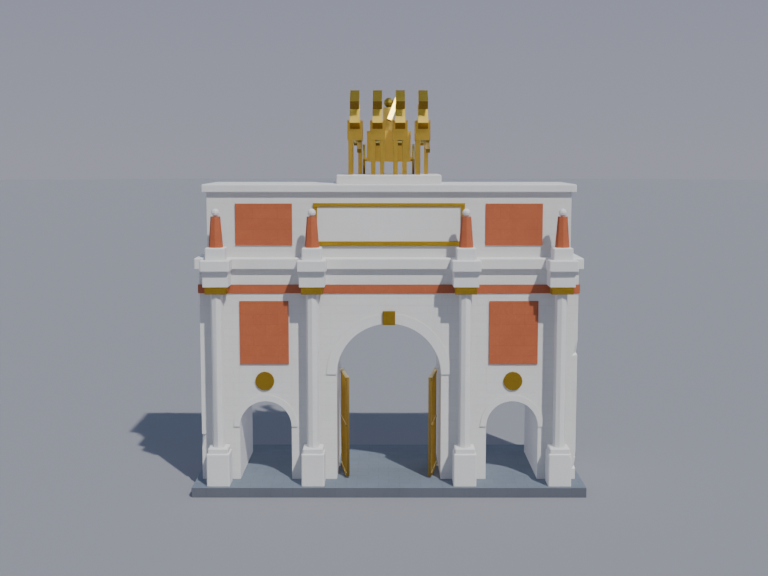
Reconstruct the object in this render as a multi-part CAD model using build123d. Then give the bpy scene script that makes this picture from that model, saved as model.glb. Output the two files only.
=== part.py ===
from build123d import *
import math
import os

os.makedirs("parts", exist_ok=True)

# Three-bay triumphal arch, full size, millimetres.
# Origin: centre of the platform's underside. +X to the right seen from the front, +Y to the back, +Z up.

# ---- platform
PLAT_X = 11500.0          # half width
PLAT_Y = 5030.0           # half depth
PLAT_H = 580.0            # height of the slab
G = PLAT_H                # level of the platform's top, from which the arch rises

# ---- wall, in plan
WALL_X = 11120.0          # half width
WALL_Y = 3180.0           # half thickness
SIDE_OUT = 8850.0         # outer jamb of the side passages
SIDE_IN = 5780.0          # inner jamb of the side passages
MID_X = 3090.0            # jamb of the central passage

# ---- wall, levels above the platform's top
SIDE_SPRING = 3215.0
SIDE_R = (SIDE_OUT - SIDE_IN) / 2
SIDE_C = (SIDE_OUT + SIDE_IN) / 2
SIDE_BLOCK = 5250.0       # top of the side arches' own masonry
MID_SPRING = 6300.0
MID_R = MID_X
MID_BLOCK = 10150.0       # top of the central arch's own masonry
BAND_Z0 = 11195.0
BAND_Z1 = 11700.0
BAND_OUT = 75.0
FRIEZE_Z1 = 12641.0
CORN_Z1 = 13270.0
CORN_X = 11365.0
CORN_Y = 3490.0
ATTIC_X = 10684.0
ATTIC_Y = 2740.0
ATTIC_Z1 = 17104.0
ACORN_X = 10943.0
ACORN_Y = 3020.0
ACORN_Z1 = 17549.0
CH = 55.0                 # chamfer on the cornices, pedestals and blocks

# ---- columns
COL_X = (9975.0, 4440.0)  # axes of the columns, each side of the centre
COL_Y = 4100.0
PED_W, PED_Z1 = 1340.0, 1930.0
BASE_W, BASE_Z1 = 1180.0, 2240.0
SHAFT_R = 365.0           # corner radius of the octagonal shaft
CAP_W, CAP_D, CAP_Z0 = 1236.0, 1080.0, 11280.0
BLOCK_W, BLOCK_D = 1460.0, 1152.0
CBLOCK_W, CBLOCK_Y = 1680.0, 4976.0
DIE_W, DIE_Z1 = 1140.0, 13960.0
ROBE_R0, ROBE_R1, ROBE_Z1 = 425.0, 285.0, 15735.0
HEAD_R = 235.0
HEAD_Z = 15955.0

# ---- panels
UP_X0, UP_X1, UP_Z0, UP_Z1 = 5675.0, 9011.0, 13980.0, 16422.0
LOW_X0, LOW_X1, LOW_Z0, LOW_Z1 = 5900.0, 8775.0, 6975.0, 10730.0
PANEL_T = 90.0
FRAME_X, FRAME_Z0, FRAME_Z1 = 4446.0, 13933.0, 16452.0
FRAME_IN_X, FRAME_IN_Z0, FRAME_IN_Z1 = 4208.0, 14208.0, 16238.0
FRAME_T = 130.0
FIELD_T = 60.0
MEDAL_X, MEDAL_Z, MEDAL_R, MEDAL_T = 7337.0, 5965.0, 560.0, 110.0
SIDE_RING = 1895.0
MID_RING = 3680.0
MID_RING_Z0 = 6360.0      # foot of the central ring
RING_T = 80.0
KEY_X, KEY_Z0, KEY_Z1, KEY_T = 370.0, 9325.0, 10145.0, 140.0

# ---- gate leaves
HINGE_X, HINGE_Y = 2863.0, -200.0
LEAF_L = 2833.0           # from the hinge axis to the free edge
LEAF_T = 172.0
LEAF_Z0, LEAF_Z1 = 105.0, 6128.0
OPEN_DEG = 81.3           # how far the leaves stand open
RAIL_T = 50.0
RAIL_Z = ((125.0, 338.0), (3149.0, 3279.0), (5918.0, 6118.0))
HEEL_R = LEAF_T / 2
PIVOT_R = 70.0
PIVOT_Z = ((0.0, 93.0), (6140.0, 6228.0))

# ---- quadriga
QP_X, QP_Y, QP_Z1 = 3110.0, 1950.0, 18080.0
HORSE_X = (-2010.0, -670.0, 670.0, 2010.0)


def block(x0, x1, y0, y1, z0, z1):
    return Pos((x0 + x1) / 2, (y0 + y1) / 2, G + (z0 + z1) / 2) * Box(
        abs(x1 - x0), abs(y1 - y0), abs(z1 - z0)
    )


def eased(x0, x1, y0, y1, z0, z1, c=CH):
    # every edge eased but the sharp bottom ones, where the block sits on its bed
    b = block(x0, x1, y0, y1, z0, z1)
    return chamfer([e for e in b.edges() if e.center().Z > G + z0 + 1.0], c)


def square(x, y, w, z0, z1, c=0.0):
    if c:
        return eased(x - w / 2, x + w / 2, y - w / 2, y + w / 2, z0, z1, c)
    return block(x - w / 2, x + w / 2, y - w / 2, y + w / 2, z0, z1)


def chip(a, b, d, out):
    """A broken-off corner: the wedge outside the plane through a, b and d, on the side of the point out.

    a and b lie on the two faces at the flat end of the break, d on the edge where it runs out.
    """
    a, b, d, out = (Vector(p[0], p[1], G + p[2]) for p in (a, b, d, out))
    m = (a + b) * 0.5
    p1, p2, p3 = a + (a - b) * 0.6, b + (b - a) * 0.6, d + (d - m) * 0.35
    tri = ((p1, p2, p3), (p1, p2, out), (p2, p3, out), (p1, p3, out))
    return Solid(Shell([Face(Wire.make_polygon(list(t), close=True)) for t in tri]))


def save(name, *solids):
    shape = solids[0] if len(solids) == 1 else Compound(children=list(solids))
    export_step(shape, "parts/" + name + ".step")


def at_columns(make):
    out = []
    for sy in (-1, 1):
        for sx in (-1, 1):
            for x in COL_X:
                out.append(make(sx * x, sy * COL_Y, sy))
    return out


def octagon_prism(x, y, r0, r1, z0, z1):
    # a corner of the octagon points along -Y, as on the shafts
    pts0 = [(r0 * math.cos(math.radians(45 * k)), r0 * math.sin(math.radians(45 * k))) for k in range(8)]
    pts1 = [(r1 * math.cos(math.radians(45 * k)), r1 * math.sin(math.radians(45 * k))) for k in range(8)]
    low = Pos(x, y, G + z0) * make_face(Polyline(*pts0, close=True))
    if abs(r0 - r1) < 1e-6:
        return extrude(low, z1 - z0)
    top = Pos(x, y, G + z1) * make_face(Polyline(*pts1, close=True))
    return loft([low, top])


# ---------------------------------------------------------------- platform and wall
# broken corners on the front edges of the outer piers: two points at the break's flat end, the point where it
# runs out along the edge, and a point well outside the stone
XE, YE = WALL_X, -WALL_Y
CHIPS = {
    "left": [
        ((-XE + 270, YE, 2740), (-XE, YE + 400, 2740), (-XE, YE, 2150), (-XE - 700, YE - 700, 2740)),
        ((-XE + 160, YE, 2450), (-XE, YE + 210, 2400), (-XE, YE, 1900), (-XE - 700, YE - 700, 2500)),
    ],
    "right": [
        ((XE - 320, YE, 7480), (XE, YE + 500, 7610), (XE, YE, 8230), (XE + 700, YE - 700, 7430)),
        ((XE - 190, YE, 7900), (XE, YE + 260, 7820), (XE, YE, 8420), (XE + 700, YE - 700, 7800)),
        ((XE - 215, YE, 620), (XE, YE + 450, 760), (XE, YE, 1420), (XE + 700, YE - 700, 560)),
        ((XE - 90, YE, 1330), (XE, YE + 150, 1380), (XE, YE, 1720), (XE + 700, YE - 700, 1300)),
    ],
}
save("platform", Pos(0, 0, PLAT_H / 2) * Box(2 * PLAT_X, 2 * PLAT_Y, PLAT_H))

for side, s in (("left", -1), ("right", 1)):
    outer = block(s * SIDE_OUT, s * WALL_X, -WALL_Y, WALL_Y, 0, BAND_Z0)
    inner = block(s * MID_X, s * SIDE_IN, -WALL_Y, WALL_Y, 0, BAND_Z0)
    arch = block(s * SIDE_IN, s * SIDE_OUT, -WALL_Y, WALL_Y, SIDE_SPRING, SIDE_BLOCK)
    arch -= Pos(s * SIDE_C, 0, G + SIDE_SPRING) * Rot(90, 0, 0) * Cylinder(SIDE_R, 2 * WALL_Y + 200)
    over = block(s * SIDE_IN, s * SIDE_OUT, -WALL_Y, WALL_Y, SIDE_BLOCK, BAND_Z0)
    for c in CHIPS[side]:
        outer -= chip(*c)
    save("pier_outer_" + side, outer)
    save("pier_inner_" + side, inner)
    save("side_arch_" + side, arch)
    save("side_wall_" + side, over)

mid = block(-MID_X, MID_X, -WALL_Y, WALL_Y, MID_SPRING, MID_BLOCK)
mid -= Pos(0, 0, G + MID_SPRING) * Rot(90, 0, 0) * Cylinder(MID_R, 2 * WALL_Y + 200)
save("central_arch", mid)
save("central_wall", block(-MID_X, MID_X, -WALL_Y, WALL_Y, MID_BLOCK, BAND_Z0))

# ---------------------------------------------------------------- entablature and attic
save("red_band", block(-WALL_X - BAND_OUT, WALL_X + BAND_OUT, -WALL_Y - BAND_OUT, WALL_Y + BAND_OUT, BAND_Z0, BAND_Z1))
save("frieze", block(-WALL_X, WALL_X, -WALL_Y, WALL_Y, BAND_Z1, FRIEZE_Z1))
save("main_cornice", eased(-CORN_X, CORN_X, -CORN_Y, CORN_Y, FRIEZE_Z1, CORN_Z1))
save("attic", block(-ATTIC_X, ATTIC_X, -ATTIC_Y, ATTIC_Y, CORN_Z1, ATTIC_Z1))
save("attic_cornice", eased(-ACORN_X, ACORN_X, -ACORN_Y, ACORN_Y, ATTIC_Z1, ACORN_Z1))

# ---------------------------------------------------------------- columns, front and back
def pedestal(x, y, s):
    p = square(x, y, PED_W, 0, PED_Z1, CH)
    if x > COL_X[1] + 100 and s < 0:
        # the right-hand front pedestal has lost its outer top corner
        cx, cy = x + PED_W / 2, y - PED_W / 2
        p -= chip((cx - 170, cy, PED_Z1 - 55), (cx, cy + 210, PED_Z1 - 55), (cx, cy, PED_Z1 - 330), (cx + 400, cy - 400, PED_Z1 + 150))
    return p


save("pedestals", *at_columns(pedestal))
save("column_bases", *at_columns(lambda x, y, s: square(x, y, BASE_W, PED_Z1, BASE_Z1, CH)))
save("column_shafts", *at_columns(lambda x, y, s: octagon_prism(x, y, SHAFT_R, SHAFT_R, BASE_Z1, CAP_Z0)))
save("capitals", *at_columns(lambda x, y, s: block(x - CAP_W / 2, x + CAP_W / 2, y - CAP_D / 2, y + CAP_D / 2, CAP_Z0, BAND_Z1)))


def architrave_block(x, y, s):
    # runs back from over the column to the wall's face above the band
    y0 = s * (COL_Y + BLOCK_D / 2)
    return block(x - BLOCK_W / 2, x + BLOCK_W / 2, min(y0, s * WALL_Y), max(y0, s * WALL_Y), BAND_Z1, FRIEZE_Z1)


def cornice_block(x, y, s):
    y0 = s * CBLOCK_Y
    b = block(x - CBLOCK_W / 2, x + CBLOCK_W / 2, min(y0, s * CORN_Y), max(y0, s * CORN_Y), FRIEZE_Z1, CORN_Z1)
    front = [e for e in b.edges() if abs(e.center().Y - s * CORN_Y) > 1.0 and e.center().Z > G + FRIEZE_Z1 + 1.0]
    return chamfer(front, CH)


save("entablature_blocks", *at_columns(architrave_block))
save("cornice_blocks", *at_columns(cornice_block))
save("statue_dies", *at_columns(lambda x, y, s: square(x, y, DIE_W, CORN_Z1, DIE_Z1, CH)))
save("statue_robes", *at_columns(lambda x, y, s: octagon_prism(x, y, ROBE_R0, ROBE_R1, DIE_Z1, ROBE_Z1)))


def faceted_ball(r, z, z_cut):
    # eight-sided ball round the point (0, 0, z), cut flat at z_cut where it sits on the shoulders
    rings = [(r * math.sin(math.radians(a)), r * math.cos(math.radians(a))) for a in (-80, -60, -30, 0, 30, 60, 80)]
    ball = None
    for (z0, r0), (z1, r1) in zip(rings, rings[1:]):
        slice_ = octagon_prism(0, 0, r0, r1, z + z0, z + z1)
        ball = slice_ if ball is None else ball + slice_
    return ball & block(-2 * r, 2 * r, -2 * r, 2 * r, z_cut, z + 2 * r)


STATUE_HEAD = faceted_ball(HEAD_R, HEAD_Z, ROBE_Z1)


def statue_head(x, y, s):
    return Pos(x, y, 0) * STATUE_HEAD


save("statue_heads", *at_columns(statue_head))

# ---------------------------------------------------------------- panels and trim on both faces
upper, lower, medals, fields, frames, rings, keys = [], [], [], [], [], [], []
for sy in (-1, 1):
    ya, yw = sy * ATTIC_Y, sy * WALL_Y
    for sx in (-1, 1):
        upper.append(block(sx * UP_X0, sx * UP_X1, ya, ya + sy * PANEL_T, UP_Z0, UP_Z1))
        lower.append(block(sx * LOW_X0, sx * LOW_X1, yw, yw + sy * PANEL_T, LOW_Z0, LOW_Z1))
        medals.append(
            Pos(sx * MEDAL_X, yw + sy * MEDAL_T / 2, G + MEDAL_Z) * Rot(90, 0, 0) * extrude(RegularPolygon(MEDAL_R, 16), MEDAL_T / 2, both=True)
        )
        ring = Pos(sx * SIDE_C, yw + sy * RING_T / 2, G + SIDE_SPRING) * Rot(90, 0, 0) * (
            Cylinder(SIDE_RING, RING_T) - Cylinder(SIDE_R, RING_T + 20)
        )
        rings.append(ring & block(sx * (SIDE_C - 2500), sx * (SIDE_C + 2500), yw - 500, yw + 500, SIDE_SPRING, SIDE_SPRING + 2500))
    ring = Pos(0, yw + sy * RING_T / 2, G + MID_SPRING) * Rot(90, 0, 0) * (
        Cylinder(MID_RING, RING_T) - Cylinder(MID_R, RING_T + 20)
    )
    ring = ring & block(-4500, 4500, yw - 500, yw + 500, MID_RING_Z0, MID_SPRING + 4500)
    rings.append(ring)
    fields.append(block(-FRAME_IN_X, FRAME_IN_X, ya, ya + sy * FIELD_T, FRAME_IN_Z0, FRAME_IN_Z1))
    frames.append(
        block(-FRAME_X, FRAME_X, ya, ya + sy * FRAME_T, FRAME_Z0, FRAME_Z1)
        - block(-FRAME_IN_X, FRAME_IN_X, ya - 300, ya + 300, FRAME_IN_Z0, FRAME_IN_Z1)
    )
    keys.append(block(-KEY_X, KEY_X, yw + sy * RING_T, yw + sy * (RING_T + KEY_T), KEY_Z0, KEY_Z1))
save("upper_panels", *upper)
save("lower_panels", *lower)
save("medallions", *medals)
save("inscription_panels", *fields)
save("inscription_frames", *frames)
save("archivolts", *rings)
save("keystones", *keys)

# ---------------------------------------------------------------- gate leaves
pintles = []
for side, s in (("left", -1), ("right", 1)):
    # modelled shut, then turned to where they stand open
    place = Pos(s * HINGE_X, HINGE_Y, 0) * Rot(0, 0, s * OPEN_DEG)
    d = -s
    leaf = block(*sorted((0.0, d * LEAF_L)), -LEAF_T / 2, LEAF_T / 2, LEAF_Z0, LEAF_Z1)
    # round heel post on the hinge axis
    leaf += Pos(0, 0, G + (LEAF_Z0 + LEAF_Z1) / 2) * Cylinder(HEEL_R, LEAF_Z1 - LEAF_Z0)
    rails = []
    for z0, z1 in RAIL_Z:
        # on the side that faces out when the leaf is shut
        x0, x1 = sorted((d * 110.0, d * (LEAF_L - 10.0)))
        rails.append(block(x0, x1, -LEAF_T / 2 - RAIL_T, -LEAF_T / 2, z0, z1))
    for z0, z1 in PIVOT_Z:
        # pivot bracket let into the jamb, just clear of the heel post
        arm = block(*sorted((s * HINGE_X, s * MID_X)), HINGE_Y - PIVOT_R, HINGE_Y + PIVOT_R, z0, z1)
        arm += Pos(s * HINGE_X, HINGE_Y, G + (z0 + z1) / 2) * Cylinder(PIVOT_R, z1 - z0)
        pintles.append(arm)
    save("gate_leaf_" + side, place * leaf)
    save("gate_rails_" + side, *[place * r for r in rails])
save("gate_pivots", *pintles)

# ---------------------------------------------------------------- quadriga
save("quadriga_pedestal", eased(-QP_X, QP_X, -QP_Y, QP_Y, ACORN_Z1, QP_Z1))

Z0 = G + QP_Z1


def qbox(x, y, z, w, l, h, tilt=0.0):
    # box of width w along X, l along Y, h along Z, centred and tilted about X
    return Pos(x, y, Z0 + z) * Rot(tilt, 0, 0) * Box(w, l, h)


def horse(x, raised):
    h = qbox(x, -450, 2615, 884, 2400, 1170)
    for dx, y in ((-270, -1500), (270, -1500), (-270, 560), (270, 560)):
        if not (raised and dx > 0 and y < 0):
            h += qbox(x + dx, y, 1050, 250, 250, 2100)
    if raised:
        # right foreleg lifted forward
        h += qbox(x + 270, -1813, 1706, 250, 1300, 256, 27)
    # neck leans back from the chest
    h += qbox(x, -1500, 3420, 590, 620, 1350, -35)
    # poll joins neck and head
    h += qbox(x, -1070, 4200, 470, 420, 600, -35)
    # head points down and forward
    h += qbox(x, -1770, 4395, 540, 1300, 530, 32)
    # tail hangs down the rump, its tip curling forward
    h += qbox(x, 830, 2480, 240, 220, 1040)
    h += qbox(x, 670, 1980, 240, 210, 480, -45)
    return h


# the outer horses lift their right forelegs
for name, x in zip(("horse_outer_left", "horse_inner_left", "horse_inner_right", "horse_outer_right"), HORSE_X):
    save(name, horse(x, abs(x) > 1500))

# chariot: front, sides and floor, open at the back and the top
car = qbox(0, 1430, 1700, 2700, 900, 1880)
car -= qbox(0, 1530, 1820, 2500, 900, 1880)
save("chariot", car)
save("chariot_wheels", *[Pos(sx * 1512, 1030, Z0 + 910) * Rot(0, 90, 0) * Cylinder(910, 130) for sx in (-1, 1)])
save("chariot_hubs", *[Pos(sx * 1398.5, 1030, Z0 + 910) * Rot(0, 90, 0) * Cylinder(115, 97) for sx in (-1, 1)])
robe = Pos(0, 1480, Z0 + 880) * Cone(395, 330, 3190, align=(Align.CENTER, Align.CENTER, Align.MIN))
save("driver_robe", robe)
head = Pos(0, 1480, 0) * faceted_ball(300, QP_Z1 + 4360, QP_Z1 + 4070)
save("driver_head", head)
arm = Pos(330, 1340, Z0 + 4080) * Rot(0, 21, 0) * Rot(-22, 0, 0) * Box(280, 270, 1850)
save("driver_arm", arm - robe - head)
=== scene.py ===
import math

import bpy
from mathutils import Euler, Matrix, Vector

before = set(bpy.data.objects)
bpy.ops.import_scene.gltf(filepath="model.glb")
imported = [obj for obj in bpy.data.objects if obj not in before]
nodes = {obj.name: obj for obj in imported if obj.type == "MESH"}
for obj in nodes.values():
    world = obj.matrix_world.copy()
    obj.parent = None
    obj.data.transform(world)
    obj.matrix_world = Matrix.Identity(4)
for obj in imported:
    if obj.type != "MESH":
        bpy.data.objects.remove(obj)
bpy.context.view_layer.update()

G = 0.58          # level of the platform's top

# ------------------------------------------------------------------ node helpers


class Mat:
    """A procedural material and short names for its nodes."""

    def __init__(self, name):
        self.m = bpy.data.materials.new(name)
        self.m.use_nodes = True
        self.t = self.m.node_tree
        self.t.nodes.clear()
        self.out = self.t.nodes.new("ShaderNodeOutputMaterial")
        self.b = self.t.nodes.new("ShaderNodeBsdfPrincipled")
        self.link(self.b.outputs[0], self.out.inputs[0])
        self._pos = None

    def new(self, kind, **props):
        n = self.t.nodes.new(kind)
        for k, v in props.items():
            setattr(n, k, v)
        return n

    def link(self, a, b):
        self.t.links.new(a, b)

    def pos(self):
        """The point in the row frame, in metres."""
        if self._pos is None:
            self._pos = self.new("ShaderNodeTexCoord").outputs["Object"]
        return self._pos

    def scaled(self, x, y, z, offset=(0, 0, 0)):
        n = self.new("ShaderNodeMapping")
        n.inputs["Scale"].default_value = (x, y, z)
        n.inputs["Location"].default_value = offset
        self.link(self.pos(), n.inputs["Vector"])
        return n.outputs[0]

    def math(self, op, a, b=None, clamp=False):
        n = self.new("ShaderNodeMath", operation=op, use_clamp=clamp)
        for i, v in enumerate((a, b)):
            if v is None:
                continue
            if isinstance(v, (int, float)):
                n.inputs[i].default_value = v
            else:
                self.link(v, n.inputs[i])
        return n.outputs[0]

    def noise(self, scale, detail=4.0, rough=0.55, vec=None, distortion=0.0):
        n = self.new("ShaderNodeTexNoise")
        n.inputs["Scale"].default_value = scale
        n.inputs["Detail"].default_value = detail
        n.inputs["Roughness"].default_value = rough
        n.inputs["Distortion"].default_value = distortion
        self.link(vec if vec is not None else self.pos(), n.inputs["Vector"])
        return n.outputs["Fac"]

    def spread(self, v, lo, hi, to_lo=0.0, to_hi=1.0):
        n = self.new("ShaderNodeMapRange")
        for i, x in enumerate((lo, hi, to_lo, to_hi)):
            n.inputs[i + 1].default_value = x
        self.link(v, n.inputs[0])
        return n.outputs[0]

    def mix(self, fac, a, b, blend="MIX"):
        n = self.new("ShaderNodeMix", data_type="RGBA", blend_type=blend)
        for i, v in ((0, fac), (6, a), (7, b)):
            if isinstance(v, (int, float)):
                n.inputs[i].default_value = v
            elif isinstance(v, (tuple, list)):
                n.inputs[i].default_value = (*v[:3], 1.0)
            else:
                self.link(v, n.inputs[i])
        return n.outputs[2]

    def face_uv(self):
        """Flat coordinates on whichever way a face looks: x and z on fronts, y and z on sides, x and y on tops."""
        sep = self.new("ShaderNodeSeparateXYZ")
        self.link(self.pos(), sep.inputs[0])
        nor = self.new("ShaderNodeSeparateXYZ")
        self.link(self.new("ShaderNodeNewGeometry").outputs["True Normal"], nor.inputs[0])
        ax = self.math("GREATER_THAN", self.math("ABSOLUTE", nor.outputs[0]), 0.6)
        az = self.math("GREATER_THAN", self.math("ABSOLUTE", nor.outputs[2]), 0.75)
        def pick(f, a, b):
            return self.math("ADD", self.math("MULTIPLY", f, b), self.math("MULTIPLY", self.math("SUBTRACT", 1.0, f), a))
        u = pick(ax, sep.outputs[0], sep.outputs[1])
        v = pick(az, sep.outputs[2], sep.outputs[1])
        c = self.new("ShaderNodeCombineXYZ")
        self.link(u, c.inputs[0])
        self.link(v, c.inputs[1])
        return c.outputs[0]

    def courses(self, width, height, joint, offset=0.5, shift=(0.0, 0.0)):
        """Brick pattern in metres: (joint mask, block tone 0..1)."""
        mp = self.new("ShaderNodeMapping")
        mp.inputs["Location"].default_value = (shift[0], shift[1], 0)
        self.link(self.face_uv(), mp.inputs["Vector"])
        n = self.new("ShaderNodeTexBrick", offset=offset, offset_frequency=2, squash=1.0)
        n.inputs["Color1"].default_value = (0, 0, 0, 1)
        n.inputs["Color2"].default_value = (1, 1, 1, 1)
        n.inputs["Mortar"].default_value = (0.5, 0.5, 0.5, 1)
        n.inputs["Scale"].default_value = 1.0
        n.inputs["Mortar Size"].default_value = joint
        n.inputs["Mortar Smooth"].default_value = 0.35
        n.inputs["Bias"].default_value = 0.0
        n.inputs["Brick Width"].default_value = width
        n.inputs["Row Height"].default_value = height
        self.link(mp.outputs[0], n.inputs["Vector"])
        return n.outputs["Fac"], n.outputs["Color"]

    def bump(self, height, distance, strength=1.0, base=None):
        n = self.new("ShaderNodeBump")
        n.inputs["Distance"].default_value = distance
        n.inputs["Strength"].default_value = strength
        self.link(height, n.inputs["Height"])
        if base is not None:
            self.link(base, n.inputs["Normal"])
        return n.outputs[0]

    def done(self, colour, rough, normal=None, metallic=0.0, spec=0.3):
        for key, v in (("Base Color", colour), ("Roughness", rough), ("Normal", normal)):
            if v is None:
                continue
            if isinstance(v, (int, float)):
                self.b.inputs[key].default_value = v
            elif isinstance(v, tuple):
                self.b.inputs[key].default_value = (*v, 1.0)
            else:
                self.link(v, self.b.inputs[key])
        self.b.inputs["Metallic"].default_value = metallic
        self.b.inputs["Specular IOR Level"].default_value = spec
        return self.m


def stone(name, colour, dark, width=1.15, height=0.46, joint=0.005, shift=(0.0, 0.0), grain=1.0, joint_tone=0.55, upright_painted_shade=0.0, top_painted_light=0.0, attic_foot_painted_shade=0.0, ring_edge_painted_shade=0.0):
    """Dressed stone: blocks of slightly different tone, thin joints, cloudy stains and a fine sawn grain."""
    s = Mat(name)
    fac, tone = s.courses(width, height, joint, shift=shift)
    cloud = s.noise(0.35, 5, 0.6)
    streak = s.noise(1.0, 4, 0.6, vec=s.scaled(2.6, 2.6, 0.22))
    fine = s.noise(38.0, 3, 0.6)
    pits = s.noise(140.0, 2, 0.5)
    c = s.mix(s.spread(tone, 0, 1, 0.0, 0.16), colour, dark)
    c = s.mix(s.spread(cloud, 0.42, 0.72, 0.0, 0.30), c, dark)
    c = s.mix(s.spread(streak, 0.52, 0.78, 0.0, 0.22), c, dark)
    c = s.mix(s.spread(fine, 0.35, 0.65, 0.0, 0.10), c, dark)
    c = s.mix(s.math("MULTIPLY", fac, joint_tone), c, tuple(x * 0.45 for x in dark))
    nor = s.new("ShaderNodeSeparateXYZ")
    s.link(s.new("ShaderNodeNewGeometry").outputs["True Normal"], nor.inputs[0])
    if top_painted_light:
        # painted highlight keeps the tops of ledges pale, and painted shade makes the foot of the attic and the
        # topmost pedestal a little darker
        high = s.new("ShaderNodeSeparateXYZ")
        s.link(s.pos(), high.inputs[0])
        if attic_foot_painted_shade:
            # painted shade at the foot of the attic, against light bounced up from the cornice
            attic_foot_shade_mask = s.math("MULTIPLY", s.spread(high.outputs[2], 13.4, 13.9), s.spread(high.outputs[2], 14.1, 15.7, attic_foot_painted_shade, 0.2 * attic_foot_painted_shade))
            c = s.mix(attic_foot_shade_mask, c, dark)
        # painted shade on the topmost pedestal, against light bounced from the attic cornice
        c = s.mix(s.spread(high.outputs[2], 18.0, 18.15, 0.0, 0.7), c, dark)
        # painted highlight: faces that look up are painted paler
        c = s.mix(s.spread(nor.outputs[2], 0.5, 0.9, 0.0, top_painted_light), c, (0.89, 0.885, 0.875))
    if ring_edge_painted_shade:
        # painted shade: the narrow upper edge of the rings is painted darker, to damp its highlight
        c = s.mix(s.spread(nor.outputs[2], 0.15, 0.5, 0.0, ring_edge_painted_shade), c, tuple(x * 0.75 for x in dark))
    if upright_painted_shade:
        # painted shade: upright faces are painted darker than the tops
        c = s.mix(s.spread(s.math("ABSOLUTE", nor.outputs[2]), 0.7, 0.3, 0.0, upright_painted_shade), c, (0.074, 0.068, 0.080))
    rough = s.spread(cloud, 0.3, 0.7, 0.78, 0.92)
    h = s.math("ADD", s.math("MULTIPLY", s.math("SUBTRACT", 1.0, fac), 1.0), s.math("MULTIPLY", fine, 0.16 * grain))
    h = s.math("ADD", h, s.math("MULTIPLY", pits, 0.07 * grain))
    return s.done(c, rough, s.bump(h, 0.006, 0.8))


def red_stone(name, colour, dark, width=1.45, height=0.62, joint=0.004, shift=(0, 0)):
    """Red-brown stone slabs with a soft cloud and thin darker veins."""
    s = Mat(name)
    fac, tone = s.courses(width, height, joint, offset=0.5, shift=shift)
    cloud = s.noise(0.8, 5, 0.62, distortion=0.4)
    vein = s.math("ABSOLUTE", s.math("SUBTRACT", s.noise(1.7, 6, 0.6, distortion=1.2), 0.5))
    fine = s.noise(60.0, 3, 0.6)
    c = s.mix(s.spread(tone, 0, 1, 0.0, 0.18), colour, dark)
    c = s.mix(s.spread(cloud, 0.4, 0.75, 0.0, 0.35), c, dark)
    c = s.mix(s.spread(vein, 0.012, 0.0, 0.0, 0.35), c, tuple(min(1, x * 1.5) for x in colour))
    c = s.mix(s.spread(fine, 0.35, 0.65, 0.0, 0.14), c, dark)
    c = s.mix(s.math("MULTIPLY", fac, 0.5), c, tuple(x * 0.4 for x in dark))
    h = s.math("ADD", s.math("SUBTRACT", 1.0, fac), s.math("MULTIPLY", fine, 0.15))
    return s.done(c, s.spread(cloud, 0.3, 0.7, 0.62, 0.8), s.bump(h, 0.004, 0.8), spec=0.35)


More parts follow.
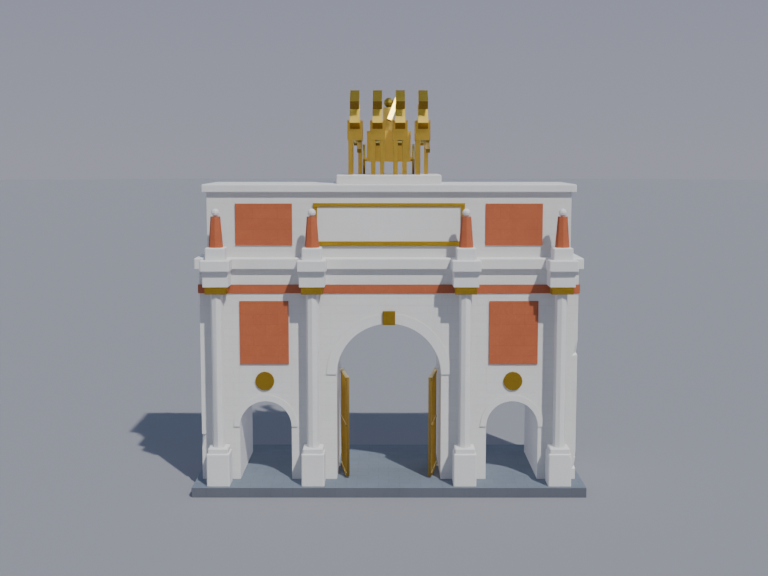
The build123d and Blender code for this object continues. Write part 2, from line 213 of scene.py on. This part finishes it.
def gilt(name, colour, worn, rough_lo, rough_hi, seams=None, metallic=1.0, down_painted_shade=0.8, under_lo=-0.15, under_hi=-0.45, top_painted_sheen=0.0, edge=(1.0, 0.86, 0.55), figure_painted_light=False, free_end_painted_shade=None):
    """Old gilded bronze: uneven leaf, hammered surface, dull worn patches."""
    s = Mat(name)
    patch = s.noise(1.6, 6, 0.65)
    leaf = s.noise(9.0, 3, 0.6)
    hammer = s.new("ShaderNodeTexVoronoi", feature="SMOOTH_F1")
    hammer.inputs["Scale"].default_value = 22.0
    s.link(s.pos(), hammer.inputs["Vector"])
    c = s.mix(s.spread(patch, 0.5, 0.75, 0.0, 0.55), colour, worn)
    c = s.mix(s.spread(leaf, 0.4, 0.7, 0.0, 0.22), c, worn)
    h = s.math("ADD", s.math("MULTIPLY", hammer.outputs["Distance"], 0.35), s.math("MULTIPLY", leaf, 0.4))
    dist = 0.004
    if seams:
        fac, tone = s.courses(seams[0], seams[1], seams[2], offset=0.0, shift=seams[3])
        c = s.mix(s.math("MULTIPLY", fac, 0.6), c, tuple(x * 0.4 for x in worn))
        h = s.math("SUBTRACT", h, s.math("MULTIPLY", fac, 1.2))
    nor = s.new("ShaderNodeSeparateXYZ")
    s.link(s.new("ShaderNodeNewGeometry").outputs["Normal"], nor.inputs[0])
    if figure_painted_light:
        # painted light on the figures: necks get a painted highlight, lifted legs a painted olive reflection, and the
        # tail's tip a painted brightening
        at = s.new("ShaderNodeSeparateXYZ")
        s.link(s.pos(), at.inputs[0])
        # painted highlight on faces tilted like the fronts of the necks
        neck_painted_highlight = s.math("MULTIPLY", s.spread(nor.outputs[2], 0.48, 0.53), s.spread(nor.outputs[2], 0.66, 0.61))
        c = s.mix(s.math("MULTIPLY", neck_painted_highlight, 0.8), c, (0.60, 0.42, 0.085))
        low = s.spread(at.outputs[2], G + 20.12, G + 20.06)
        # painted reflection: the lifted legs' faces are painted olive
        lifted_leg_painted_reflection = s.math("MULTIPLY", low, s.spread(at.outputs[1], -1.66, -1.72))
        lifted_leg_painted_reflection = s.math("MULTIPLY", lifted_leg_painted_reflection, s.spread(nor.outputs[2], -0.1, 0.1))
        c = s.mix(s.math("MULTIPLY", lifted_leg_painted_reflection, 0.9), c, (0.36, 0.33, 0.20))
        # painted light: the tail's tip is painted bright against the shade under the belly
        tail_painted_light = s.math("MULTIPLY", low, s.math("MULTIPLY", s.spread(at.outputs[1], 0.36, 0.40), s.spread(at.outputs[1], 0.98, 0.94)))
        tail_painted_light = s.math("MULTIPLY", tail_painted_light, s.spread(nor.outputs[2], 0.4, 0.6))
        c = s.mix(tail_painted_light, c, (1.0, 0.80, 0.32))
    if free_end_painted_shade is not None:
        # painted shade: the narrow free edge is painted darker than the sheets
        at = s.new("ShaderNodeSeparateXYZ")
        s.link(s.pos(), at.inputs[0])
        c = s.mix(s.spread(at.outputs[1], free_end_painted_shade + 0.03, free_end_painted_shade, 0.0, 0.85), c, (0.185, 0.122, 0.033))
    # painted shade on faces that look down, broken up a little by the leaf noise
    down_face_shade_mask = s.math("MULTIPLY", s.spread(nor.outputs[2], under_lo, under_hi), s.spread(leaf, 0.25, 0.6, 0.72, 1.0))
    c = s.mix(s.math("MULTIPLY", down_face_shade_mask, down_painted_shade), c, tuple(x * y for x, y in zip(worn, (0.53, 0.48, 0.45))))
    # and flat undersides get a painted shade that is nearly black
    c = s.mix(s.spread(nor.outputs[2], -0.9, -0.96, 0.0, 0.85), c, (0.03, 0.022, 0.008))
    if top_painted_sheen:
        # painted sheen: the narrow tops are painted pale, as a painted reflection of the sky
        c = s.mix(s.spread(nor.outputs[2], 0.55, 0.85, 0.0, top_painted_sheen), c, (0.78, 0.72, 0.50))
    r = s.math("ADD", s.spread(patch, 0.3, 0.75, rough_lo, rough_hi), s.spread(leaf, 0.3, 0.7, -0.03, 0.05))
    s.b.inputs["Specular Tint"].default_value = (*edge, 1.0)
    return s.done(c, r, s.bump(h, dist, 0.7), metallic=metallic, spec=0.5)


WHITE, WHITE_D = (0.668, 0.664, 0.640), (0.566, 0.562, 0.537)
RED, RED_D = (0.42, 0.106, 0.038), (0.31, 0.074, 0.028)
mats = {
    # pale stones: painted highlight on their tops; the walls also get painted shade at the attic's foot
    "pale": stone("pale_stone_walls", WHITE, WHITE_D, joint_tone=0.22, top_painted_light=0.55, attic_foot_painted_shade=0.8),
    "pale_fine": stone("pale_stone_fine", WHITE, WHITE_D, width=2.4, height=1.3, joint=0.004, shift=(1.2, 0.1), joint_tone=0.2, top_painted_light=0.55),
    "pale_piece": stone("pale_stone_piece", WHITE, WHITE_D, width=30.0, height=30.0, joint=0.0, shift=(15.3, 15.2), joint_tone=0.0, top_painted_light=0.55),
    # rings: painted shade on their upper edge
    "pale_ring": stone("pale_stone_ring", WHITE, WHITE_D, width=30.0, height=30.0, joint=0.0, shift=(15.3, 15.2), joint_tone=0.0, ring_edge_painted_shade=0.6),
    # platform: painted shade on its upright faces
    "platform": stone("platform_stone", (0.175, 0.213, 0.262), (0.12, 0.145, 0.178), width=1.25, height=0.8, joint=0.006, grain=1.4, upright_painted_shade=0.6),
    "red": red_stone("red_stone", RED, RED_D),
    "red_piece": red_stone("red_stone_piece", RED, RED_D, width=40, height=40, joint=0.0, shift=(20.1, 20.1)),
    # horse and driver gilding: painted highlight on necks, painted reflection on lifted legs, painted light on tail
    # tips
    "gilt": gilt("gilding", (0.476, 0.30, 0.047), (0.36, 0.22, 0.036), 0.35, 0.44, figure_painted_light=True),
    # paler robe gilding as painted light, against the shade on the robe
    "robe": gilt("robe_gilding_painted_light", (0.63, 0.45, 0.10), (0.50, 0.35, 0.075), 0.36, 0.45),
    # wheels: painted shade on the lower half, as every face that looks even slightly down is darkened
    "wheel": gilt("wheel_gilding", (0.53, 0.42, 0.085), (0.49, 0.34, 0.04), 0.40, 0.5, down_painted_shade=0.97, under_lo=0.03, under_hi=-0.03, edge=(0.7, 0.5, 0.12)),
    # darker and rougher gilding on the driver's head: the darker base is painted shade, the roughness is the finish
    "dull": gilt("dull_gilding_painted_shade", (0.27, 0.205, 0.036), (0.21, 0.155, 0.026), 0.42, 0.52, down_painted_shade=0.6),
    # paler gilding on the driver's arm as painted highlight
    "bright": gilt("arm_gilding_painted_highlight", (0.92, 0.68, 0.155), (0.82, 0.60, 0.13), 0.34, 0.42),
    # paler chariot gilding as painted light, against the horses' shade on it
    "car": gilt("chariot_gilding_painted_light", (0.80, 0.55, 0.10), (0.67, 0.45, 0.075), 0.38, 0.48, metallic=0.6),
    "trim": gilt("gilded_trim", (0.30, 0.187, 0.02), (0.235, 0.14, 0.017), 0.36, 0.46, down_painted_shade=0.3),
    "frame": gilt("gilded_frames", (0.425, 0.268, 0.028), (0.325, 0.20, 0.022), 0.36, 0.46, down_painted_shade=0.3),
    # gate: painted sheen on the rail tops and painted shade on the free edge
    "gate": gilt("gate_gilding", (0.365, 0.250, 0.068), (0.285, 0.195, 0.052), 0.50, 0.60, down_painted_shade=0.3, top_painted_sheen=0.9, edge=(0.72, 0.5, 0.17), free_end_painted_shade=-3.0),
}
use = {
    "platform": "platform",
    "red_band": "red", "upper_panels": "red", "lower_panels": "red", "statue_robes": "red_piece",
    "capitals": "trim", "medallions": "trim", "inscription_frames": "frame", "keystones": "trim",
    "gate_leaf_left": "gate", "gate_leaf_right": "gate", "gate_rails_left": "gate", "gate_rails_right": "gate", "gate_pivots": "pale_piece",
    "column_shafts": "pale_fine", "pedestals": "pale_piece", "column_bases": "pale_piece", "statue_dies": "pale_piece",
    "statue_heads": "pale_piece", "entablature_blocks": "pale_piece", "cornice_blocks": "pale_piece",
    "inscription_panels": "pale_fine", "archivolts": "pale_ring", "main_cornice": "pale_fine", "attic_cornice": "pale_fine",
    "quadriga_pedestal": "pale_fine", "chariot": "car", "chariot_hubs": "car", "chariot_wheels": "wheel", "driver_robe": "robe", "driver_head": "dull", "driver_arm": "bright",
}
# width of the softened arris on each kind of piece, in metres
ARRIS = {"pale": 0.014, "pale_fine": 0.014, "pale_piece": 0.014, "pale_ring": 0.005, "platform": 0.016, "red": 0.01, "red_piece": 0.012,
         "gilt": 0.012, "car": 0.012, "wheel": 0.012, "dull": 0.01, "bright": 0.012, "robe": 0.012, "trim": 0.01, "frame": 0.008, "gate": 0.006}
for n, o in nodes.items():
    kind = use.get(n) or ("gilt" if n.startswith(("horse_", "driver_")) else "pale")
    o.data.materials.clear()
    o.data.materials.append(mats[kind])
    weld = o.modifiers.new("weld", "WELD")
    weld.merge_threshold = 0.0002
    bev = o.modifiers.new("arris", "BEVEL")
    bev.width = ARRIS[kind]
    bev.segments = 2
    bev.limit_method = "ANGLE"
    bev.angle_limit = math.radians(32)
    bev.use_clamp_overlap = True

# ------------------------------------------------------------------ floor, light, camera
floor_mesh = bpy.data.meshes.new("floor")
R = 900.0
ring = [(R * math.cos(math.radians(5 * k)), R * math.sin(math.radians(5 * k)), 0.0) for k in range(72)]
floor_mesh.from_pydata(ring, [], [list(range(72))])
floor = bpy.data.objects.new("floor", floor_mesh)
bpy.context.scene.collection.objects.link(floor)
floor.location.z = -0.002
f = Mat("floor_plain")
floor_mesh.materials.append(f.done((0.28, 0.284, 0.305), 0.9, spec=0.1))



def sun(name, travel, energy, colour, angle, shadow=True):
    li = bpy.data.lights.new(name, "SUN")
    li.energy, li.color, li.angle = energy, colour, math.radians(angle)
    li.use_shadow = shadow
    li.cycles.use_multiple_importance_sampling = shadow
    ob = bpy.data.objects.new(name, li)
    ob.rotation_mode = "QUATERNION"
    ob.rotation_quaternion = Vector(travel).to_track_quat("-Z", "Y")
    bpy.context.scene.collection.objects.link(ob)
    return ob


sun("key", (-0.55, 1.0, -1.29), 3.53, (1.0, 0.985, 0.95), 1.2)
# soft fill that also reaches into the passages
FILL = (0.74, 0.76, 1.0)
sun("fill_front", (0.0, 1.0, -0.15), 0.06, FILL, 90, shadow=False)
sun("fill_back", (0.0, -1.0, -0.15), 0.12, FILL, 90, shadow=False)
sun("fill_left", (1.0, 0.0, -0.15), 0.60, FILL, 90, shadow=False)
sun("fill_right", (-1.0, 0.0, -0.15), 0.62, FILL, 90, shadow=False)
# soft glow for the gilding alone
for name, travel, energy, colour in (
    ("gloss_front", (0.0, 1.0, 0.0), 0.47, (0.95, 0.97, 1.0)),
    ("gloss_back", (0.0, -1.0, 0.0), 0.47, (0.95, 0.97, 1.0)),
    ("gloss_top", (0.0, 0.3, -1.0), 0.62, (0.72, 0.97, 1.0)),
):
    sun(name, travel, energy, colour, 90, shadow=False).visible_diffuse = False

world = bpy.data.worlds.new("studio")
world.use_nodes = True
wt = world.node_tree
bg = wt.nodes["Background"]
tc = wt.nodes.new("ShaderNodeTexCoord")
sp = wt.nodes.new("ShaderNodeSeparateXYZ")
ramp = wt.nodes.new("ShaderNodeValToRGB")
wt.links.new(tc.outputs["Generated"], sp.inputs[0])
wt.links.new(sp.outputs[2], ramp.inputs[0])
ramp.color_ramp.elements[0].position = 0.0
ramp.color_ramp.elements[0].color = (0.35, 0.353, 0.425, 1.0)
ramp.color_ramp.elements[1].position = 0.75
ramp.color_ramp.elements[1].color = (0.112, 0.178, 0.305, 1.0)
wt.links.new(ramp.outputs[0], bg.inputs[0])
bg.inputs[1].default_value = 1.0
bpy.context.scene.world = world

cam = bpy.data.cameras.new("camera")
cam.sensor_width = 36.0
cam.lens = 53.706
cam.clip_start, cam.clip_end = 1.0, 3000.0
co = bpy.data.objects.new("camera", cam)
co.location = (-0.2452, -69.923, 19.242 + G)
co.rotation_euler = Euler((math.radians(90 - 6.620), 0.0, math.radians(0.037)))
bpy.context.scene.collection.objects.link(co)
bpy.context.scene.camera = co
